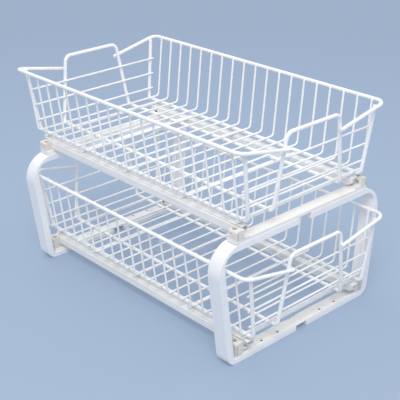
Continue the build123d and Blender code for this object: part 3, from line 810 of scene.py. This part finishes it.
class ORGANIZER_OT_slides(SceneOperator, bpy.types.Operator):
    """Fold the runners under the baskets and the rails on the frame"""

    bl_idname = "organizer.slides"
    bl_label = "Slides"

    def execute(self, context):
        sheet = context.scene.organizer_sheets
        thick = sheet.thick / MM
        for tier in TIERS:
            shift, floor = tier_place(tier)
            low, high = (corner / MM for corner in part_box(f"{tier}_rail_right"))
            stud_hole = centre_of(f"{tier}_front_roller_right")
            wall = RAIL_OUTER - thick / 2
            cuts = bore((wall, stud_hole.y, stud_hole.z - floor), AXLE_RADIUS + FIT, thick)
            for end in ENDS:
                cuts.merged(bore((wall, inset(end, RIVET_INSET), RIVET_LEVEL), RIVET_RADIUS + FIT, thick))
            cuts.block((RAIL_LIP - CLEAR, low.y - CLEAR, RAIL_TOP - thick),
                       (RAIL_OUTER - thick, low.y + LIP_CUTAWAY, RAIL_TOP + CLEAR))
            rail, runner = rail_shape(sheet, low.y, high.y), runner_shape(sheet)
            for hand, side in HANDS.items():
                name = f"{tier}_runner_{hand}"
                add_piece(f"folded_{name}", runner.placed(side, (0, shift, floor)), "slide_steel", [name],
                          sheet.edge)
                name = f"{tier}_rail_{hand}"
                add_piece(f"folded_{name}", rail.placed(side, (0, 0, floor)), "slide_steel", [name],
                          sheet.edge, cuts.placed(side, (0, 0, floor)))
        return {"FINISHED"}


def centre_of(node):
    """The middle of a CAD node, in millimetres."""
    low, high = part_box(node)
    return (low + high) / 2 / MM


class ORGANIZER_OT_rollers(SceneOperator, bpy.types.Operator):
    """Turn the eight nylon rollers and their studs"""

    bl_idname = "organizer.rollers"
    bl_label = "Rollers"

    def execute(self, context):
        sheet = context.scene.organizer_sheets
        backs = {"front": RAIL_OUTER, "rear": RUNNER_INNER}
        front_studs = Shape()
        for tier in TIERS:
            studs = {"front": front_studs, "rear": Shape()}
            for end in ENDS:
                for hand, side in HANDS.items():
                    name = f"{tier}_{end}_roller_{hand}"
                    low, high = (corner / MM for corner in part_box(name))
                    centre, half, radius = (low + high) / 2, (high.x - low.x) / 2, (high.z - low.z) / 2
                    profile = roller_profile(half, radius, sheet.roller_edge / MM)
                    shape = Shape().lathe(profile, centre, "X", ROLLER_SIDES, True)
                    add_piece(f"turned_{name}", shape, "nylon", [name], smooth=28)
                    studs[end].merged(stud(centre, side * backs[end], sheet.thick / MM, half))
            add_piece(f"plated_{tier}_rear_axles", studs["rear"], "fasteners", [f"{tier}_rear_axles"])
        add_piece("plated_front_axles", front_studs, "fasteners", ["front_axles"])
        return {"FINISHED"}


class ORGANIZER_OT_brackets(SceneOperator, bpy.types.Operator):
    """Mould the blocks that hold the rails, and set their rivets"""

    bl_idname = "organizer.brackets"
    bl_label = "Brackets and rivets"

    def execute(self, context):
        sheet = context.scene.organizer_sheets
        rivets = Shape()
        for tier in TIERS:
            level = tier_place(tier)[1] + RIVET_LEVEL
            for end in ENDS:
                low, high = (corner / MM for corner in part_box(f"{tier}_bracket_{end}_right"))
                corners = [(low.x, low.z), (high.x, low.z), (high.x, high.z), (low.x, high.z)]
                outline = outline_bends(corners, {2: BRACKET_BEND})
                shape = Shape().prism(outline, span(end, 0, BRACKET_DEPTH), "Y")
                y = inset(end, RIVET_INSET)
                cuts = bore((low.x, y, level), RIVET_RADIUS + FIT, RIVET_LENGTH - sheet.thick / MM)
                (y0, y1), wall = span(end, -CLEAR, SLIT_DEPTH), high.x - BRACKET_WALL
                cuts.block((wall - SLIT_WIDTH, y0, low.z - CLEAR), (wall, y1, high.z - BRACKET_BEND))
                place = (BRACKET_SCREW, inset(end, BRACKET_SCREW_INSET))
                cuts.merged(bore((*place, low.z), SCREW_RADIUS + FIT, BRACKET_SEAT + CLEAR, "Z"))
                depth = high.z - low.z
                cuts.merged(bore((*place, high.z + BRACKET_SEAT), SCREW_HEAD + FIT, depth, "Z", HEAD_SIDES))
                cuts.merged(bore((high.x, place[1], high.z - SIDE_HOLE_DROP), SIDE_HOLE, 4 * BRACKET_WALL))
                for hand, side in HANDS.items():
                    name = f"{tier}_bracket_{end}_{hand}"
                    add_piece(f"moulded_{name}", shape.placed(side), "nylon", [name], sheet.block_edge,
                              cuts.placed(side), segments=3, smooth=30, cut_last=True)
                    rivets.merged(rivet((low.x - sheet.thick / MM, y, level)).placed(side))
        add_piece("plated_rail_rivets", rivets, "fasteners", ["rail_rivets"])
        return {"FINISHED"}


def rivet(face):
    """A rivet whose domed head lies on a rail's inner face and whose shank goes into the bracket."""
    dome = [(-RIVET_HEAD_THICK * rise, RIVET_HEAD * share)
            for rise, share in ((1, 0.08), (1, 0.35), (0.8, 0.7), (0.35, 0.96), (0, 1))]
    shank = [(0, RIVET_RADIUS), (RIVET_LENGTH, RIVET_RADIUS), (RIVET_LENGTH, RIVET_HEAD * 0.08)]
    return Shape().lathe(dome + shank, face, "X", SHANK_SIDES)


def hoop_half(height):
    """Half the width over a hoop at a height."""
    return HOOP_FOOT_HALF + HOOP_SPLAY * height


class ORGANIZER_OT_hoops(SceneOperator, bpy.types.Operator):
    """Mould the four hoop sides"""

    bl_idname = "organizer.hoops"
    bl_label = "Hoop sides"

    def execute(self, context):
        sheet = context.scene.organizer_sheets
        outline = outline_bends(
            [(FOOT_GAP, 0), (hoop_half(0), 0), (hoop_half(HOOP_TOP), HOOP_TOP), (TOP_GAP, HOOP_TOP),
             (TOP_GAP, TOP_ARM_UNDER), (hoop_half(TOP_ARM_UNDER) - SIDE_THICK, TOP_ARM_UNDER),
             (hoop_half(FOOT_ARM_TOP) - SIDE_THICK, FOOT_ARM_TOP), (FOOT_GAP, FOOT_ARM_TOP)],
            HOOP_BENDS, steps=14)
        for end in ENDS:
            shape = Shape().prism(outline, span(end, 0, HOOP_DEPTH), "Y")
            middle, window = inset(end, BAR_DEPTH / 2), inset(end, MOUNT_INSET)
            cuts = Shape().block(
                (MOUNT_HOLES[0] - WINDOW_MARGIN, window - WINDOW_WIDTH / 2, -CLEAR),
                (MOUNT_HOLES[1] + WINDOW_MARGIN, window + WINDOW_WIDTH / 2, FOOT_ARM_TOP + CLEAR))
            cuts.merged(bore((BAR_SCREW, middle, HOOP_TOP / 2), SCREW_RADIUS + FIT, HOOP_TOP, "Z"))
            sunk = SCREW_HEAD_THICK + 2 * FIT
            cuts.merged(bore((BAR_SCREW, middle, 0), SCREW_HEAD + FIT, sunk, "Z", HEAD_SIDES))
            place = (BRACKET_SCREW, inset(end, BRACKET_SCREW_INSET))
            cuts.merged(bore((*place, HOOP_TOP), SCREW_RADIUS + FIT, HOOP_TOP - SCREW_HEAD_THICK, "Z"))
            for hand, side in HANDS.items():
                name = f"{end}_side_{hand}"
                add_piece(f"moulded_{name}", shape.placed(side), "moulding", [name], sheet.hoop_edge,
                          cuts.placed(side), segments=4, smooth=30)
        return {"FINISHED"}


class ORGANIZER_OT_bars(SceneOperator, bpy.types.Operator):
    """Fold the cross bars and drive the screws of the frame"""

    bl_idname = "organizer.bars"
    bl_label = "Cross bars and screws"

    def execute(self, context):
        sheet = context.scene.organizer_sheets
        bar_screws, bracket_screws = Shape(), Shape()
        for end in ENDS:
            middle, place = inset(end, BAR_DEPTH / 2), inset(end, BRACKET_SCREW_INSET)
            for level, (bottom, top, seat, into) in BARS.items():
                name = f"{end}_{level}_bar"
                add_piece(f"folded_{name}", self.pan(sheet, name, end, bottom, top), "folded_steel", [name],
                          sheet.edge, self.holes(sheet, name, end, bottom, top), segments=3)
                reach, head = top - sheet.thick / MM - seat, top + BRACKET_SEAT
                for side in HANDS.values():
                    bar_screws.merged(screw((side * BAR_SCREW, middle, seat), -1, reach))
                    seated = (side * BRACKET_SCREW, place, head)
                    bracket_screws.merged(screw(seated, 1, into + BRACKET_SEAT))
        add_piece("plated_bar_screws", bar_screws, "fasteners", ["bar_screws"])
        add_piece("plated_bracket_screws", bracket_screws, "fasteners", ["bracket_screws"])
        return {"FINISHED"}

    def pan(self, sheet, name, end, bottom, top):
        """The outside of a bar, with its long top edges rounded by the folds."""
        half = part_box(name)[1].x / MM
        y0, y1 = span(end, BAR_SETBACK, BAR_DEPTH)
        fold = (sheet.thick + sheet.fold) / MM
        corners = [(y0, bottom), (y1, bottom), (y1, top), (y0, top)]
        outline = outline_bends(corners, {2: fold, 3: fold}, steps=5)
        return Shape().prism(outline, (-half, half), "X")

    def holes(self, sheet, name, end, bottom, top):
        """What is hollow in a bar: the pan between its nuts, and the screws' holes."""
        thick = sheet.thick / MM
        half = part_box(name)[1].x / MM - thick
        y0, y1 = span(end, BAR_SETBACK, BAR_DEPTH)
        cuts = Shape()
        near, far = BAR_SCREW - NUT_WIDTH / 2, BAR_SCREW + NUT_WIDTH / 2
        for x0, x1 in ((-half, -far), (-near, near), (far, half)):
            cuts.block((x0, y0 + thick, bottom - CLEAR), (x1, y1 - thick, top - thick))
        places = [(BRACKET_SCREW, BRACKET_SCREW_INSET, SCREW_RADIUS + FIT)]
        if "foot" in name:
            places += [(x, MOUNT_INSET, MOUNT_RADIUS) for x in MOUNT_HOLES]
        for side in HANDS.values():
            nut = (side * BAR_SCREW, inset(end, BAR_DEPTH / 2), bottom)
            cuts.merged(bore(nut, SCREW_RADIUS + FIT, top - thick - bottom, "Z"))
            for x, depth, radius in places:
                cuts.merged(bore((side * x, inset(end, depth), top), radius, thick + FIT, "Z", SHANK_SIDES))
        return cuts


def screw(seat, way, depth):
    """A pan-head screw: the head's seat, which way the head points, and the shank's length."""
    top = SCREW_HEAD_THICK * way
    dome = ((0, 1), (0.45, 1), (0.8, 0.86), (0.97, 0.6), (1, 0.5), (0.45, 0.36), (0.42, 0.05))
    head = [(0, SCREW_RADIUS)] + [(top * rise, SCREW_HEAD * share) for rise, share in dome]
    shank = [(-depth * way, SCREW_HEAD * 0.06), (-depth * way, SCREW_RADIUS)]
    return Shape().lathe(shank + head, seat, "Z", SHANK_SIDES)


class ORGANIZER_OT_stage(SceneOperator, bpy.types.Operator):
    """Set the floor, the studio lights and the camera"""

    bl_idname = "organizer.stage"
    bl_label = "Stage"

    def execute(self, context):
        scene = context.scene
        tint = tuple(scene.organizer_finishes.floor)
        far, under, over = (size / MM for size in (FLOOR_HALF, FLOOR_BOTTOM, FLOOR_TOP))
        ground = mesh_object("studio_floor", Shape().block((-far, -far, under), (far, far, over)))
        ground.data.materials.append(floor_paper(tint))
        self.light_world(scene, tint)
        for name, (place, size, power, tone) in LAMPS.items():
            lamp = bpy.data.lights.new(name, "AREA")
            lamp.shape, lamp.size, lamp.energy, lamp.color = "DISK", size, power, tone
            item = bpy.data.objects.new(name, lamp)
            item.location = place
            item.rotation_euler = (LAMP_AIM - Vector(place)).to_track_quat("-Z", "Y").to_euler()
            scene.collection.objects.link(item)
        self.set_camera(scene)
        scene.view_settings.view_transform = "Standard"
        return {"FINISHED"}

    def light_world(self, scene, tint):
        """Even light from all round, and the floor's colour where one looks past the floor."""
        world = bpy.data.worlds.new("studio")
        scene.world = world
        world.use_nodes = True
        tree = world.node_tree
        tree.nodes.clear()
        seen = tree.nodes.new("ShaderNodeLightPath")
        mix = tree.nodes.new("ShaderNodeMixShader")
        out = tree.nodes.new("ShaderNodeOutputWorld")
        for place, (strength, tone) in enumerate(((WORLD_STRENGTH, WORLD_TONE), (1.0, tint)), 1):
            sky = tree.nodes.new("ShaderNodeBackground")
            sky.inputs["Color"].default_value = (*tone, 1)
            sky.inputs["Strength"].default_value = strength
            tree.links.new(sky.outputs[0], mix.inputs[place])
        direct = seen.outputs[BACKDROP_RAYS[0]]
        for ray in BACKDROP_RAYS[1:]:
            either = tree.nodes.new("ShaderNodeMath")
            either.operation = "MAXIMUM"
            tree.links.new(direct, either.inputs[0])
            tree.links.new(seen.outputs[ray], either.inputs[1])
            direct = either.outputs[0]
        tree.links.new(direct, mix.inputs[0])
        tree.links.new(mix.outputs[0], out.inputs[0])

    def set_camera(self, scene):
        """A camera at the photograph's viewing angle."""
        yaw, pitch, roll = radians(CAMERA_YAW), radians(CAMERA_PITCH), radians(CAMERA_ROLL)
        ahead = Vector((sin(yaw) * cos(pitch), cos(yaw) * cos(pitch), sin(pitch)))
        level = Vector((cos(yaw), -sin(yaw), 0))
        over = level.cross(ahead)
        right = level * cos(roll) + over * sin(roll)
        up = over * cos(roll) - level * sin(roll)
        turn = Matrix((right, up, -ahead)).transposed().to_4x4()
        data = bpy.data.cameras.new("photo_camera")
        data.lens = FOCAL_LENGTH * data.sensor_width / PHOTO_WIDTH
        data.clip_start, data.clip_end = 0.01, 100
        camera = bpy.data.objects.new("photo_camera", data)
        camera.matrix_world = Matrix.Translation(Vector(CAMERA_PLACE) * MM) @ turn
        scene.collection.objects.link(camera)
        scene.camera = camera


class VIEW3D_PT_organizer(bpy.types.Panel):
    """Lists the steps that build the organizer"""

    bl_idname = "VIEW3D_PT_organizer"
    bl_label = "Two-tier organizer"
    bl_space_type = "VIEW_3D"
    bl_region_type = "UI"
    bl_category = "Organizer"

    def draw(self, context):
        for step in STEPS:
            self.layout.operator(step.bl_idname)


STEPS = (ORGANIZER_OT_heavy_wires, ORGANIZER_OT_grid_wires, ORGANIZER_OT_slides, ORGANIZER_OT_rollers,
         ORGANIZER_OT_brackets, ORGANIZER_OT_hoops, ORGANIZER_OT_bars, ORGANIZER_OT_stage)
GROUPS = {"organizer_wires": WireSizes, "organizer_sheets": SheetSizes, "organizer_finishes": Finishes}


def register():
    for group in GROUPS.values():
        bpy.utils.register_class(group)
    for name, group in GROUPS.items():
        setattr(bpy.types.Scene, name, PointerProperty(type=group))
    for item in (*STEPS, VIEW3D_PT_organizer):
        bpy.utils.register_class(item)


def unregister():
    for item in (VIEW3D_PT_organizer, *reversed(STEPS)):
        bpy.utils.unregister_class(item)
    for name, group in GROUPS.items():
        delattr(bpy.types.Scene, name)
        bpy.utils.unregister_class(group)


def main():
    register()
    for step in STEPS:
        family, name = step.bl_idname.split(".")
        getattr(getattr(bpy.ops, family), name)()


if __name__ == "__main__":
    main()
